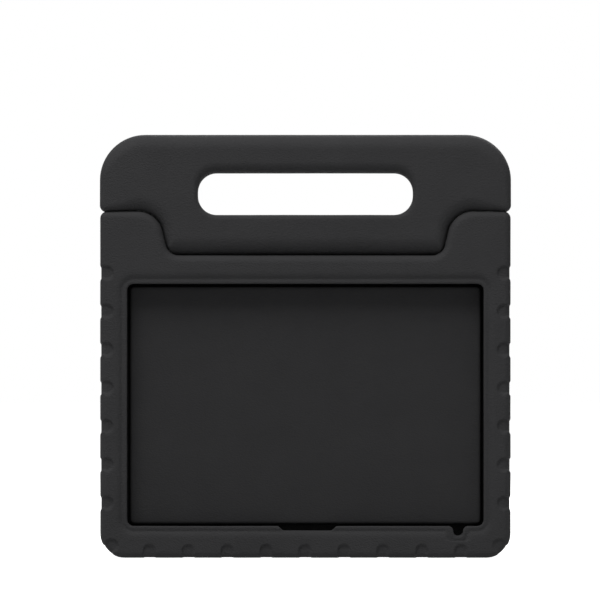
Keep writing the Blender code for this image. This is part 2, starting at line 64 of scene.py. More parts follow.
# %% Outer sizes, read from the frame
MM = 0.001
OVER = 2.0 * MM
_, body_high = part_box("case_body")
_, handle_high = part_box("handle")
HALF_DEPTH = body_high.y
BODY_HALF_WIDTH = body_high.x
SHOULDER_TOP = body_high.z
HANDLE_HALF_WIDTH = handle_high.x
HANDLE_TOP = handle_high.z
HINGE_Z = frame["record"]["behaviour"]["joints"][0]["pos_m"][2]
print("hinge axis at", round(HINGE_Z / MM, 2), "mm")
print("half depth", round(HALF_DEPTH / MM, 2), "mm")

# %% Sizes of the pocket
SIDE_WALL = 10.1 * MM
BOTTOM_WALL = 13.0 * MM
POCKET_HALF_WIDTH = BODY_HALF_WIDTH - SIDE_WALL
POCKET_HALF_HEIGHT = 67.8 * MM
POCKET_MIDDLE = BOTTOM_WALL + POCKET_HALF_HEIGHT
LIP_THICKNESS = 3.8 * MM
PAD_DEPTH = 10.6 * MM
CHANNEL_DEPTH = 7.5 * MM
for word, half in (("wide", POCKET_HALF_WIDTH), ("high", POCKET_HALF_HEIGHT)):
    print("the pocket is", round(2 * half / MM, 1), "mm", word)

# %% [markdown]
# ## Drawing an outline
#
# Every shape here starts as a flat outline in the front view. It could be worked out point
# by point, but a draughtsman gives the corners and their radii. So a face is made from the
# corners alone, and bmesh's vertex bevel rounds each of them.

# %% Round the corners of an outline
def traced(corners, steps=10):
    """The points of an outline, from corners given as (x, z, radius)."""
    mesh = bmesh.new()
    verts = [mesh.verts.new((x, 0.0, z)) for x, z, _ in corners]
    mesh.faces.new(verts)
    for i, (x, z, radius) in enumerate(corners):
        if not radius:
            continue
        here = Vector((x, z))
        back = (Vector(corners[i - 1][:2]) - here).normalized()
        ahead = (Vector(corners[(i + 1) % len(corners)][:2]) - here).normalized()
        offset = radius / tan(back.angle(ahead) / 2)
        bmesh.ops.bevel(
            mesh, geom=[verts[i]], offset=offset, offset_type="OFFSET", affect="VERTICES",
            segments=steps, profile=0.5, material=-1)
    face = next(iter(mesh.faces))
    points = [(v.co.x, v.co.z) for v in face.verts]
    mesh.free()
    area = sum(a[0] * b[1] - b[0] * a[1] for a, b in zip(points, points[1:] + points[:1]))
    if area < 0:
        points.reverse()
    first = Vector(corners[0][:2])
    start = min(range(len(points)), key=lambda i: (Vector(points[i]) - first).length)
    return points[start:] + points[:start]


QUARTERS = ((-1, -1), (1, -1), (1, 1), (-1, 1))


def rectangle(half_width, half_height, middle, corner, steps=10):
    """A rectangle with round corners, centred on the case."""
    corners = [(a * half_width, middle + b * half_height, corner) for a, b in QUARTERS]
    return traced(corners, steps)


print("a rounded rectangle has", len(rectangle(0.1, 0.05, 0.0, 0.01)), "points")

# %% Change a size along an outline
def blend(share, low, high):
    """A smooth change from low to high as share goes from 0 to 1."""
    share = min(1.0, max(0.0, share))
    return low + (high - low) * share * share * (3 - 2 * share)


def drawn_in(points, distances):
    """An outline with each point moved inward, at right angles to the outline."""
    moved = []
    for i, point in enumerate(points):
        here = Vector(point)
        before = (here - Vector(points[i - 1])).normalized()
        after = (Vector(points[(i + 1) % len(points)]) - here).normalized()
        outward = Vector((before.y + after.y, -before.x - after.x))
        moved.append(tuple(here - outward * (2 * distances[i] / outward.length_squared)))
    return moved


print("a quarter of the way from 0 to 1, the blend is at", blend(0.25, 0.0, 1.0))

# %% [markdown]
# ## Building a solid from outlines
#
# A moulding's edge is rounded all the way round, by a radius that may change along the
# edge. A bevel has one width, so instead the outline's face is extruded again and again,
# and each time its points are drawn in or let out a little, which is how a loft is made.

# %% Extrude a face through a list of outlines
def settle(name, mesh):
    """Make an object from a finished bmesh, with its faces outward."""
    bmesh.ops.recalc_face_normals(mesh, faces=mesh.faces)
    data = bpy.data.meshes.new(name)
    mesh.to_mesh(data)
    mesh.free()
    piece = bpy.data.objects.new(name, data)
    bpy.context.scene.collection.objects.link(piece)
    return piece


def stack(name, rings, steer=None):
    """A closed solid through rings of (points, depth), one depth or one for each point."""
    mesh = bmesh.new()

    def place(ring, i):
        (x, z), depth = ring[0][i], ring[1]
        return (x, depth[i] if isinstance(depth, list) else depth, z)

    count = len(rings[0][0])
    order = [mesh.verts.new(place(rings[0], i)) for i in range(count)]
    cap = mesh.faces.new(order)
    for level, ring in enumerate(rings[1:]):
        made = bmesh.ops.extrude_face_region(mesh, geom=[cap])["geom"]
        if level:
            bmesh.ops.delete(mesh, geom=[cap], context="FACES_ONLY")
        cap = next(item for item in made if isinstance(item, bmesh.types.BMFace))
        where = {vert.co.to_tuple(7): vert for vert in cap.verts}
        order = [where[old.co.to_tuple(7)] for old in order]
        for i, vert in enumerate(order):
            vert.co = place(ring, i)
    if steer:
        bmesh.ops.transform(mesh, matrix=steer, verts=mesh.verts)
    return settle(name, mesh)


# %% A slab with a round edge
ROUND_STEPS = 9
LEAN_FRONT = 0.3 * MM
LEAN_MIDDLE = -0.5 * MM


def quarter_turn(steps):
    """Equal angles from 0 to 90 degrees, both included."""
    return [radians(90 * k / steps) for k in range(steps + 1)]


def moulding(name, outline, inset=0.0, sink=0.0):
    """A slab with a round edge, whose radius is given for each point of its outline.

    Each point of the outline is (point, radius, reach, lean). A reach over 1 makes the
    round longer than it is deep. A lean lets the parting wall run aslant to the middle.
    """
    points = [point for point, _, _, _ in outline]
    half = HALF_DEPTH - sink
    edges = [(max(r - inset, r / 4), reach, lean) for _, r, reach, lean in outline]
    angles = quarter_turn(ROUND_STEPS)
    rings = []
    for side, turn in [(-1, a) for a in angles] + [(1, a) for a in reversed(angles)]:
        shift = LEAN_FRONT if side < 0 else LEAN_MIDDLE
        inward = [r * n * (1 - sin(turn)) + inset + lean * shift for r, n, lean in edges]
        depth = [side * (half - r * (1 - cos(turn))) for r, _, _ in edges]
        rings.append((drawn_in(points, inward), depth))
        if side < 0 and turn == angles[-1]:
            inward = [inset + lean * LEAN_MIDDLE for _, _, lean in edges]
            rings.append((drawn_in(points, inward), 0.0))
    return stack(name, rings)


print("a round edge has", ROUND_STEPS, "steps")

# %% [markdown]
# ## Cutting and joining
#
# In the mould every hollow is a metal core that the foam flows round. A Boolean with a
# solid of the core's shape leaves the same hollow. It is applied at once, so that the next
# cut works on a plain mesh and no tool is left in the scene.

# %% Cut and join solids
def bake(piece):
    """Replace a piece's mesh by what its modifiers make of it."""
    bpy.context.view_layer.update()
    evaluated = piece.evaluated_get(bpy.context.evaluated_depsgraph_get())
    result = bpy.data.meshes.new_from_object(evaluated)
    piece.modifiers.clear()
    old = piece.data
    piece.data = result
    bpy.data.meshes.remove(old)


def combine(piece, tool, operation="DIFFERENCE"):
    """Apply a Boolean with a tool, which is used up."""
    step = piece.modifiers.new(operation, "BOOLEAN")
    step.operation = operation
    step.solver = "EXACT"
    step.object = tool
    bake(piece)
    bpy.data.objects.remove(tool)


# %% Plain tools: a block, and a solid turned about the hinge axis
TURNED_STEPS = 96
BORE_STEPS = 48
SEAM_TURN = 0.01
WELD = 1e-7


def block(low, high):
    """A box between two corners, as a cutting tool."""
    mesh = bmesh.new()
    bmesh.ops.create_cube(mesh, size=1.0)
    low, high = Vector(low), Vector(high)
    scale = Matrix.Diagonal((*(high - low), 1.0))
    bmesh.ops.transform(
        mesh, matrix=Matrix.Translation((low + high) / 2) @ scale, verts=mesh.verts)
    return settle("block", mesh)


def turned(profile, steps=TURNED_STEPS):
    """A solid made by spinning a profile of (x, radius) points about the hinge axis."""
    mesh = bmesh.new()
    centre = Vector((0.0, 0.0, HINGE_Z))
    points = [(profile[0][0], 0.0)] + list(profile) + [(profile[-1][0], 0.0)]
    verts = []
    for x, r in points:
        verts.append(mesh.verts.new((x, r * cos(SEAM_TURN), HINGE_Z + r * sin(SEAM_TURN))))
    edges = [mesh.edges.new(pair) for pair in zip(verts, verts[1:])]
    bmesh.ops.spin(
        mesh, geom=verts + edges, cent=centre, axis=(1, 0, 0), angle=2 * pi, steps=steps,
        use_merge=True)
    bmesh.ops.remove_doubles(mesh, verts=mesh.verts, dist=WELD)
    return settle("turned", mesh)


print("turned tools have", TURNED_STEPS, "sides, and bores have", BORE_STEPS)

# %% [markdown]
# ## The parting line
#
# The line between frame and handle runs along the top of each shoulder, down in an S and
# along the barrel. Both pieces could be one solid cut by a thin sheet, but the edges of such
# a cut can't be rounded. So each piece is drawn from the same corners, half a gap away.

# %% Corners of the parting line, on the right
GAP = 0.26 * MM
FRAME_GAP = 0.4 * MM
PARTING_RISE = SHOULDER_TOP + FRAME_GAP / 2 - HINGE_Z
PARTING_DROP = 1.0 * MM
PARTING_SLOPE = radians(76)
PARTING_INNER_RADIUS = 6.8 * MM
PARTING_OUTER_RADIUS = 13.0 * MM
SHOULDER_WIDTH = 32.92 * MM
TONGUE_HALF_WIDTH = BODY_HALF_WIDTH - SHOULDER_WIDTH


def parting_corner(level, shift):
    """Where the slope meets the flat line above (level 1) or below (level -1) the axis."""
    z = level * PARTING_RISE + shift - (PARTING_DROP if level < 0 else 0.0)
    x = TONGUE_HALF_WIDTH - shift / sin(PARTING_SLOPE) + z / tan(PARTING_SLOPE)
    return x, HINGE_Z + z


def parting_bends(shift):
    """The inner and the outer bend of the parting line, with their radii."""
    inner, outer = parting_corner(-1, shift), parting_corner(1, shift)
    return (*inner, PARTING_INNER_RADIUS - shift), (*outer, PARTING_OUTER_RADIUS + shift)


# %% The parting line as a curve
CURVE_STEPS = 14
CURVE_START = 10.0 * MM
CURVE_END = 150.0 * MM
CURVE_ROOM = 50.0 * MM


def parting_curve(shift):
    """The rounded parting line on the right, from the tongue's flat to the shoulder's."""
    inner, outer = parting_bends(shift)
    low, high = inner[1], outer[1]
    corners = [(0.0, high + CURVE_ROOM, 0), (0.0, low, 0), inner, outer]
    corners += [(CURVE_END, high, 0), (CURVE_END, high + CURVE_ROOM, 0)]
    points = traced(corners, CURVE_STEPS)
    inside = [p for p in points if CURVE_START < p[0] < CURVE_END - MM]
    return sorted(inside, key=lambda p: p[0])


print("parting line:", len(parting_curve(0.0)), "points")

# %% [markdown]
# ## The foam's softness
#
# A moulded foam edge is never sharp, and its skin is never quite flat. One way is to bevel
# every edge after the cuts, which is fragile on shapes cut by Booleans. Here the solid is
# rebuilt from small voxels, smoothed, and thinned out again where it is flat, so every edge
# gets the soft radius that foam has. Then the skin gets a very slight waviness.

# %% Mark how much of the mould's grain and how much painted shade each point gets
PAD_GRAIN_AND_PAINTED_SHADE = 0.22


def mark_grain_and_painted_shade(piece):
    """Store 1 on the outer surface, less on the pocket's pad and 0 down in its channel;
    lower values mean finer grain and more painted shade.
    """
    skin = piece.data.attributes.new("skin", "FLOAT", "POINT")
    pad = PAD_DEPTH - HALF_DEPTH
    roof = LIP_THICKNESS - HALF_DEPTH
    for vert, mark in zip(piece.data.vertices, skin.data):
        x, y, z = vert.co
        beside = abs(x) < POCKET_HALF_WIDTH + MM
        within = beside and abs(z - POCKET_MIDDLE) < POCKET_HALF_HEIGHT + MM
        if within and roof < y < pad + CHANNEL_DEPTH + MM:
            # On the pad this value paints some shade; it falls to 0, the darkest painted
            # shade, down in the channel.
            mark.value = PAD_GRAIN_AND_PAINTED_SHADE * blend((y - pad) / MM, 1.0, 0.0)
        else:
            mark.value = 1.0


# %% Soften a cut solid into a moulded one
VOXEL = 0.42 * MM
SMOOTH_FACTOR = 0.5
SMOOTH_PASSES = 3
FACE_BUDGET = 186000
WAVE_HEIGHT = 0.10 * MM
WAVE_LENGTH = 21.0 * MM


def soften(piece):
    """Rebuild, smooth and thin out a solid, as foam comes from its mould."""
    remesh = piece.modifiers.new("voxels", "REMESH")
    remesh.mode = "VOXEL"
    remesh.voxel_size = VOXEL
    smooth = piece.modifiers.new("smooth", "SMOOTH")
    smooth.factor = SMOOTH_FACTOR
    smooth.iterations = SMOOTH_PASSES
    bake(piece)
    faces = 2 * len(piece.data.polygons)
    if faces > FACE_BUDGET:
        thin = piece.modifiers.new("thin", "DECIMATE")
        thin.ratio = FACE_BUDGET / faces
        bake(piece)
    mesh = bmesh.new()
    mesh.from_mesh(piece.data)
    for vert in mesh.verts:
        sink = WAVE_HEIGHT * (1 - noise.noise(vert.co / WAVE_LENGTH)) / 2
        vert.co -= vert.normal * sink
    mesh.to_mesh(piece.data)
    mesh.free()
    # Store each point's grain strength and its painted shade.
    mark_grain_and_painted_shade(piece)
    piece.data.shade_smooth()
    print(piece.name, "has", len(piece.data.polygons), "faces, from", faces)


# %% [markdown]
# ## The frame's outer form
#
# The frame is one block of foam, and its outline goes round the bottom corners, up the
# sides, over the shoulders and along the parting line. A bevel after the cuts would give
# every edge one radius, but the real edge is tighter at the shoulders and at the bottom. So
# the radius is worked out for each point of the outline.

# %% The outline of the frame
BOTTOM_CORNER = 13.0 * MM
SHOULDER_CORNER = 3.5 * MM
SIDE_ROUND = 4.0 * MM
BOTTOM_ROUND = 3.2 * MM
SHOULDER_ROUND = 3.0 * MM
PARTING_ROUND = 4.0 * MM
FRAME_STEPS = 12


def frame_outline():
    """The frame's outline, with the edge's radius, reach and lean at each point."""
    inner, outer = parting_bends(-GAP / 2)
    right = [(BODY_HALF_WIDTH, 0.0, BOTTOM_CORNER)]
    right += [(BODY_HALF_WIDTH, outer[1], SHOULDER_CORNER), outer, inner]
    left = [(-x, z, r) for x, z, r in reversed(right)]
    outline = []
    for x, z in traced(right + left, FRAME_STEPS):
        low = blend(z / BOTTOM_CORNER, BOTTOM_ROUND, SIDE_ROUND)
        side = blend((SHOULDER_TOP - z) / BOTTOM_CORNER, SHOULDER_ROUND, low)
        parting = abs(x) < BODY_HALF_WIDTH - MM / 10 and z > POCKET_MIDDLE
        inside = (BODY_HALF_WIDTH - abs(x)) / SHOULDER_CORNER
        lean = -min(1.0, inside) if parting else 0.0
        radius = blend(inside / 3, SHOULDER_ROUND, PARTING_ROUND) if parting else side
        outline.append(((x, z), radius, 1.0, lean))
    return outline


print("the frame's outline has", len(frame_outline()), "points")

# %% [markdown]
# ## The grip recesses
#
# Along the sides and the bottom, shallow tongue-shaped recesses give small hands a hold.
# They could be sculpted, but a mould presses them in, and so does this step: the edge is cut
# away at each recess, and a slightly smaller core fills the cut again, up to the recess's
# floor. One side of a recess is steep and the other runs out gently.

# %% The cutter for one recess
RECESS_DEPTH = 1.0 * MM
RECESS_INSET = 0.55 * MM
RECESS_LIFT = 0.3 * MM
RECESS_WALL = 0.35 * MM
RECESS_RUN = 0.8
RECESS_EDGE = 3.0 * MM
RECESS_TIP = 0.98
RECESS_REACH = 7.0 * MM
RECESS_STEPS = 12


def recess_tool(x, z, turn, width):
    """A tongue-shaped cutter that points inward from the edge at (x, z)."""
    half = width / 2
    tip = half * RECESS_TIP
    corners = [(-half, -OVER, 0), (half, -OVER, 0)]
    corners += [(half, RECESS_REACH, tip), (-half, RECESS_REACH, tip)]
    points = traced(corners, RECESS_STEPS)
    steer = Matrix.Translation((x, 0.0, z)) @ Matrix.Rotation(-turn, 4, "Y")
    steep = half if turn > 0 else -half
    wide = drawn_in(points, [-RECESS_WALL] * len(points))
    narrow = [(steep + (px - steep) * RECESS_RUN, pz - RECESS_WALL) for px, pz in points]
    levels = [(wide, HALF_DEPTH + OVER), (wide, HALF_DEPTH + RECESS_WALL / 10)]
    levels += [(narrow, HALF_DEPTH - RECESS_DEPTH), (points, HALF_DEPTH - RECESS_EDGE)]
    rings = [(ring, -y) for ring, y in levels] + [(ring, y) for ring, y in reversed(levels)]
    return stack("recess", rings, steer)


# %% All the recesses
SIDE_RECESSES = 7
SIDE_RECESS_WIDTH = 7.4 * MM
SIDE_RECESS_FIRST = 28.7 * MM
SIDE_RECESS_PITCH = 20.2 * MM
BOTTOM_RECESSES = 9
BOTTOM_RECESS_WIDTH = 6.5 * MM
BOTTOM_RECESS_PITCH = 20.5 * MM


def recess_spots():
    """Where the recesses are, as (x, z, turn, width)."""
    corner = BOTTOM_CORNER * (1 - sqrt(0.5))
    spots = []
    for k in range(BOTTOM_RECESSES):
        x = (k - BOTTOM_RECESSES // 2) * BOTTOM_RECESS_PITCH
        spots.append((x, 0.0, 0.0, BOTTOM_RECESS_WIDTH))
    for side in (-1, 1):
        x = side * (BODY_HALF_WIDTH - corner)
        spots.append((x, corner, side * pi / 4, SIDE_RECESS_WIDTH))
        for k in range(SIDE_RECESSES):
            z = SIDE_RECESS_FIRST + k * SIDE_RECESS_PITCH
            spots.append((side * BODY_HALF_WIDTH, z, side * pi / 2, SIDE_RECESS_WIDTH))
    return spots


def press_recesses(piece, core):
    """Cut all the recesses with one tool, then fill them again up to their floors."""
    mesh = bmesh.new()
    for spot in recess_spots():
        tool = recess_tool(*spot)
        mesh.from_mesh(tool.data)
        bpy.data.objects.remove(tool)
    combine(piece, settle("recesses", mesh))
    combine(piece, core, "UNION")


print("grip recesses:", len(recess_spots()))

# %% [markdown]
# ## The window
#
# Round the window the face slopes in, to a fine crease, and then a rim rolls over into the
# opening. All of that is one cutter with many rings. At the lower right the rings bend round
# a small U-shaped notch, so they are drawn from corners again rather than drawn in.

# %% One ring of the window's cutter
LIP = 4.25 * MM
WINDOW_HALF_WIDTH = POCKET_HALF_WIDTH - LIP
WINDOW_TOP = POCKET_MIDDLE + POCKET_HALF_HEIGHT - LIP
BOTTOM_LIP_CUT = 0.4 * MM
WINDOW_BOTTOM = POCKET_MIDDLE - POCKET_HALF_HEIGHT + LIP - BOTTOM_LIP_CUT
WINDOW_CORNER = 3.4 * MM
SURROUND_WIDTH = 5.3 * MM
RIM_WIDTH = 2.6 * MM
NOTCH_X = 80.5 * MM
NOTCH_HALF_WIDTH = 2.85 * MM
NOTCH_TAPER = 0.72
NOTCH_DEPTH = 5.3 * MM
NOTCH_GROWTH = 0.9
NOTCH_FADED = 0.03
NOTCH_FLARE = 0.5
NOTCH_TIP = 0.45


def window_ring(grow):
    """The window's outline let out by grow, with its bump round the small notch."""
    wide = WINDOW_HALF_WIDTH + grow
    low, high = WINDOW_BOTTOM - grow, WINDOW_TOP + grow
    depth = NOTCH_DEPTH * blend((grow - RIM_WIDTH) / SURROUND_WIDTH, 1.0, NOTCH_FADED)
    half = NOTCH_HALF_WIDTH + grow * NOTCH_GROWTH
    foot = half * NOTCH_TAPER
    flare = depth * NOTCH_FLARE
    tip = min(foot, depth * NOTCH_TIP)
    corner = WINDOW_CORNER + grow
    corners = [(-wide, low, corner), (NOTCH_X - half, low, flare)]
    corners += [(NOTCH_X - foot, low - depth, tip), (NOTCH_X + foot, low - depth, tip)]
    corners += [(NOTCH_X + half, low, flare), (wide, low, corner)]
    corners += [(wide, high, corner), (-wide, high, corner)]
    return traced(corners)


print("a ring of the window has", len(window_ring(0.0)), "points")

# %% The window's cutter
SURROUND_DROP = 1.0 * MM
SURROUND_CURVE = 3.2
SURROUND_STEPS = 6
CREASE_WIDTH = 1.1 * MM
CREASE_DEPTH = 0.35 * MM
RIM_DROP = 0.95 * MM
RIM_ROLL = 0.6 * MM
RIM_STEPS = 6


def window_tool():
    """The cutter for the surround, crease, rim and window."""
    face = -HALF_DEPTH
    reach = RIM_WIDTH + SURROUND_WIDTH
    slope = SURROUND_WIDTH - CREASE_WIDTH / 2
    profile = [(reach + MM, face - MM / 10)]
    for k in range(SURROUND_STEPS + 1):
        share = k / SURROUND_STEPS
        dip = SURROUND_DROP * share ** SURROUND_CURVE
        profile.append((reach - share * slope, face + dip))
    floor = face + RIM_DROP
    profile.append((RIM_WIDTH, face + SURROUND_DROP + CREASE_DEPTH))
    profile.append((RIM_WIDTH - CREASE_WIDTH / 2, floor + CREASE_DEPTH / 4))
    profile.append((RIM_WIDTH - CREASE_WIDTH, floor))
    for turn in quarter_turn(RIM_STEPS):
        profile.append((RIM_ROLL * (1 - sin(turn)), floor + RIM_ROLL * (1 - cos(turn))))
    profile.append((0.0, face + LIP_THICKNESS + OVER))
    return stack("window", [(window_ring(grow), y) for grow, y in profile])


# %% [markdown]
# ## The pocket and its openings
#
# The tablet lies on a raised pad with a channel round it. In the photograph the channel is
# a black line, so it is cut deeper here than in the frame. The pad could be added to an
# empty pocket, but it is taken out of the pocket's cutter instead, which leaves it standing
# in one cut. Two notches and the charging opening are plain cutters of their own.

# %% The pocket's cutter
POCKET_CORNER = 7.0 * MM
PAD_SIDE_GAP = 1.25 * MM
PAD_BOTTOM_GAP = 0.75 * MM
PAD_CORNER = 2.4 * MM
PAD_ROUND = 0.8 * MM
PAD_REACH = 2.2
PAD_STEPS = 5


def pocket_tool():
    """The tablet's space, with the channel round the raised pad left standing."""
    roof = LIP_THICKNESS - HALF_DEPTH
    pad = PAD_DEPTH - HALF_DEPTH
    shape = rectangle(POCKET_HALF_WIDTH, POCKET_HALF_HEIGHT, POCKET_MIDDLE, POCKET_CORNER)
    tool = stack("pocket", [(shape, roof), (shape, pad + CHANNEL_DEPTH)])
    low, high = WINDOW_BOTTOM + PAD_BOTTOM_GAP, WINDOW_TOP - PAD_SIDE_GAP
    half_width = WINDOW_HALF_WIDTH - PAD_SIDE_GAP
    raised = rectangle(half_width, (high - low) / 2, (high + low) / 2, PAD_CORNER)
    rings = []
    for turn in quarter_turn(PAD_STEPS):
        inward = PAD_ROUND * PAD_REACH * (1 - sin(turn))
        depth = pad + PAD_ROUND * (1 - cos(turn))
        rings.append((drawn_in(raised, [inward] * len(raised)), depth))
    rings.append((raised, pad + CHANNEL_DEPTH + OVER))
    combine(tool, stack("pad", rings))
    return tool


# %% The notches in the lower lip
WIDE_NOTCH_X = 1.0 * MM
WIDE_NOTCH_TOP = 30.8 * MM
WIDE_NOTCH_BOTTOM = 25.6 * MM
WIDE_NOTCH_DEPTH = 2.3 * MM
SMALL_NOTCH_STEPS = 12


def through(name, shape):
    """A cutter from in front of the face down to the floor of the channel."""
    floor = PAD_DEPTH + CHANNEL_DEPTH - HALF_DEPTH
    return stack(name, [(shape, -HALF_DEPTH - OVER), (shape, floor)])


def wide_notch_tool():
    """The trapezoid notch in the middle of the lower lip."""
    low, high = WINDOW_BOTTOM - WIDE_NOTCH_DEPTH, WINDOW_BOTTOM + OVER / 2
    lower, upper = WIDE_NOTCH_BOTTOM / 2, WIDE_NOTCH_TOP / 2
    upper += (upper - lower) * (high - WINDOW_BOTTOM) / WIDE_NOTCH_DEPTH
    x = WIDE_NOTCH_X
    shape = [(x - lower, low), (x + lower, low), (x + upper, high), (x - upper, high)]
    return through("notch", shape)


def small_notch_tool():
    """The deep middle of the small notch, black inside."""
    low, high = WINDOW_BOTTOM - NOTCH_DEPTH, WINDOW_BOTTOM + OVER / 2
    half, foot = NOTCH_HALF_WIDTH, NOTCH_HALF_WIDTH * NOTCH_TAPER
    corners = [(NOTCH_X - half, high, 0), (NOTCH_X - foot, low, foot)]
    corners += [(NOTCH_X + foot, low, foot), (NOTCH_X + half, high, 0)]
    return through("small_notch", traced(corners, SMALL_NOTCH_STEPS))


# %% The charging opening
PORT_WIDTH = 11.6 * MM
PORT_HEIGHT = 6.0 * MM
PORT_CORNER = 2.7 * MM
PORT_PLACE = 2.5


def port_tool():
    """The opening for the charging plug, through the right side wall between recesses."""
    z = SIDE_RECESS_FIRST + PORT_PLACE * SIDE_RECESS_PITCH
    y = (LIP_THICKNESS + PAD_DEPTH) / 2 - HALF_DEPTH
    half_y, half_z = PORT_HEIGHT / 2, PORT_WIDTH / 2
    shape = traced([(y + a * half_y, z + b * half_z, PORT_CORNER) for a, b in QUARTERS])
    steer = Matrix.Rotation(-pi / 2, 4, "Z")
    ends = (POCKET_HALF_WIDTH - OVER, BODY_HALF_WIDTH + OVER)
    return stack("port", [([(-y, z) for y, z in shape], x) for x in ends], steer)


# %% [markdown]
# ## Room for the hinge
#
# Behind the shoulders the frame is turned down to a round, so that the handle can swing
# over it. The tool is a block with a turned solid taken out of it. The plastic sockets and
# pegs are in the frame already, so their bores take their sizes from them.

# %% The tool for the frame's back
BACK_RELIEF = 0.4 * MM


def shoulder_relief():
    """What the handle sweeps behind the shoulders and the frame's top edge."""
    far = HALF_DEPTH + OVER
    top = SHOULDER_TOP + OVER
    wall = TONGUE_HALF_WIDTH + GAP / 2 - LEAN_MIDDLE
    shift = LEAN_MIDDLE - GAP / 2 - BACK_RELIEF
    tool = block((-wall, 0.0, parting_corner(-1, shift)[1]), (wall, far, top))
    curve = [(x, z - HINGE_Z) for x, z in parting_curve(shift)]
    curve = [(x, r) for x, r in curve if r > BACK_RELIEF and x > wall]
    curve = [(wall, BACK_RELIEF)] + curve + [(BODY_HALF_WIDTH + 2 * OVER, curve[-1][1])]
    for side in (-1, 1):
        ends = sorted((side * (wall - OVER), side * (BODY_HALF_WIDTH + OVER)))
        part = block((ends[0], 0.0, HINGE_Z), (ends[1], far, top))
        combine(part, turned([(side * x, r) for x, r in curve]))
        combine(tool, part, "UNION")
    return tool


# %% Bores for the plastic parts
PLASTIC_GAP = 0.1 * MM
JOURNAL_BORE_RADIUS = 2.75 * MM
SIDES = (("left", -1), ("right", 1))


def bore(piece, side, start, end, radius):
    """Cut a plain round bore along the hinge axis."""
    ends = sorted((side * start, side * end))
    combine(piece, turned([(ends[0], radius), (ends[1], radius)], BORE_STEPS))


def span(name):
    """Where a plastic part starts and ends along the axis, and the radius of its bore."""
    low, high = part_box(name)
    near, far = sorted((abs(low.x), abs(high.x)))
    return near, far, (high.y - low.y) / 2 + PLASTIC_GAP


for part_name in ("hinge_socket_left", "hinge_peg_left"):
    near, far, radius = (round(size / MM, 1) for size in span(part_name))
    print(part_name, "reaches from", near, "to", far, "mm, and its bore's radius is", radius)

# %% [markdown]
# ## Making the frame
#
# All the cutters are ready. The outer form and its smaller core are built from the same
# outline, the recesses come first, because the core fills every hollow that is there by
# then, and the softening comes last, so that it rounds every cut.

# %% Make the frame
FRAME_TOOLS = (
    pocket_tool, window_tool, wide_notch_tool, small_notch_tool, port_tool, shoulder_relief)


def make_frame():
    """The frame, cut from its outer form and then softened."""
    outline = frame_outline()
    piece = moulding("foam_frame", outline)
    fill = []
    for (x, z), *edge in outline:
        fill.append(((x, z - RECESS_LIFT * blend(z / BOTTOM_CORNER, 1.0, 0.0)), *edge))
    press_recesses(piece, moulding("core", fill, RECESS_INSET, RECESS_DEPTH))
    for make_tool in FRAME_TOOLS:
        combine(piece, make_tool())
    journal_start = TONGUE_HALF_WIDTH - OVER
    for word, side in SIDES:
        near, far, radius = span("hinge_socket_" + word)
        bore(piece, side, near - PLASTIC_GAP, far + PLASTIC_GAP, radius)
        bore(piece, side, journal_start, near + PLASTIC_GAP, JOURNAL_BORE_RADIUS)
    soften(piece)
    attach(piece, "case")
    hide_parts("case_body")
    return piece


foam_frame = make_frame()

# %% [markdown]
# ## The handle
#
# The handle has the parting line as its lower edge, moved up by half a gap. Its top is
# almost a full round, for the hand, and its sides are much crisper, so the radius changes
# along the outline. The hand opening is a cutter that flares out at both faces.

# %% The edge of the handle
TOP_CORNER = 24.0 * MM
FOOT_CORNER = 3.0 * MM
HANDLE_TOP_ROUND = 7.8 * MM
HANDLE_SIDE_ROUND = 4.0 * MM
FOOT_ROUND = 2.6 * MM
WING_ROUND = 6.0 * MM
TONGUE_ROUND = 4.5 * MM
WING_REACH = 1.35


def handle_edge(x, z):
    """The edge's radius and reach at one point of the handle's outline."""
    if z > HANDLE_TOP - TOP_CORNER - MM:
        crown = (z - (HANDLE_TOP - TOP_CORNER)) / TOP_CORNER
        return blend(crown, HANDLE_SIDE_ROUND, HANDLE_TOP_ROUND), 1.0
    if x > HANDLE_HALF_WIDTH - FOOT_CORNER - MM:
        return FOOT_ROUND, 1.0
    slope = (z - HINGE_Z + PARTING_RISE) / (2 * PARTING_RISE)
    near_foot = (HANDLE_HALF_WIDTH - FOOT_CORNER - x) / (2 * WING_ROUND)
    radius = blend(slope, TONGUE_ROUND, WING_ROUND)
    return blend(near_foot, FOOT_ROUND, radius), blend(near_foot, 1.0, WING_REACH)


# %% The handle's outline
HANDLE_STEPS = 16


def handle_outline():
    """The handle's outline, with the edge's radius, reach and lean at each point."""
    inner, outer = parting_bends(GAP / 2)
    right = [inner, outer, (HANDLE_HALF_WIDTH, outer[1], FOOT_CORNER)]
    right.append((HANDLE_HALF_WIDTH, HANDLE_TOP, TOP_CORNER))
    left = [(-x, z, r) for x, z, r in reversed(right)]
    outline = []
    for x, z in traced(right + left, HANDLE_STEPS):
        radius, reach = handle_edge(abs(x), z)
        below = z < outer[1] + FOOT_CORNER
        lean = min(1.0, (HANDLE_HALF_WIDTH - abs(x)) / FOOT_CORNER) if below else 0.0
        outline.append(((x, z), radius, reach, lean))
    return outline


print("the handle's outline has", len(handle_outline()), "points")

# %% The hand opening
GRIP_HALF_LENGTH = 56.7 * MM
GRIP_HALF_HEIGHT = 10.95 * MM
GRIP_MIDDLE = HINGE_Z + 20.35 * MM
GRIP_CORNER = 10.0 * MM
GRIP_ROUND = 2.6 * MM
GRIP_TOP_ROUND = 6.0 * MM
GRIP_STEPS = 14


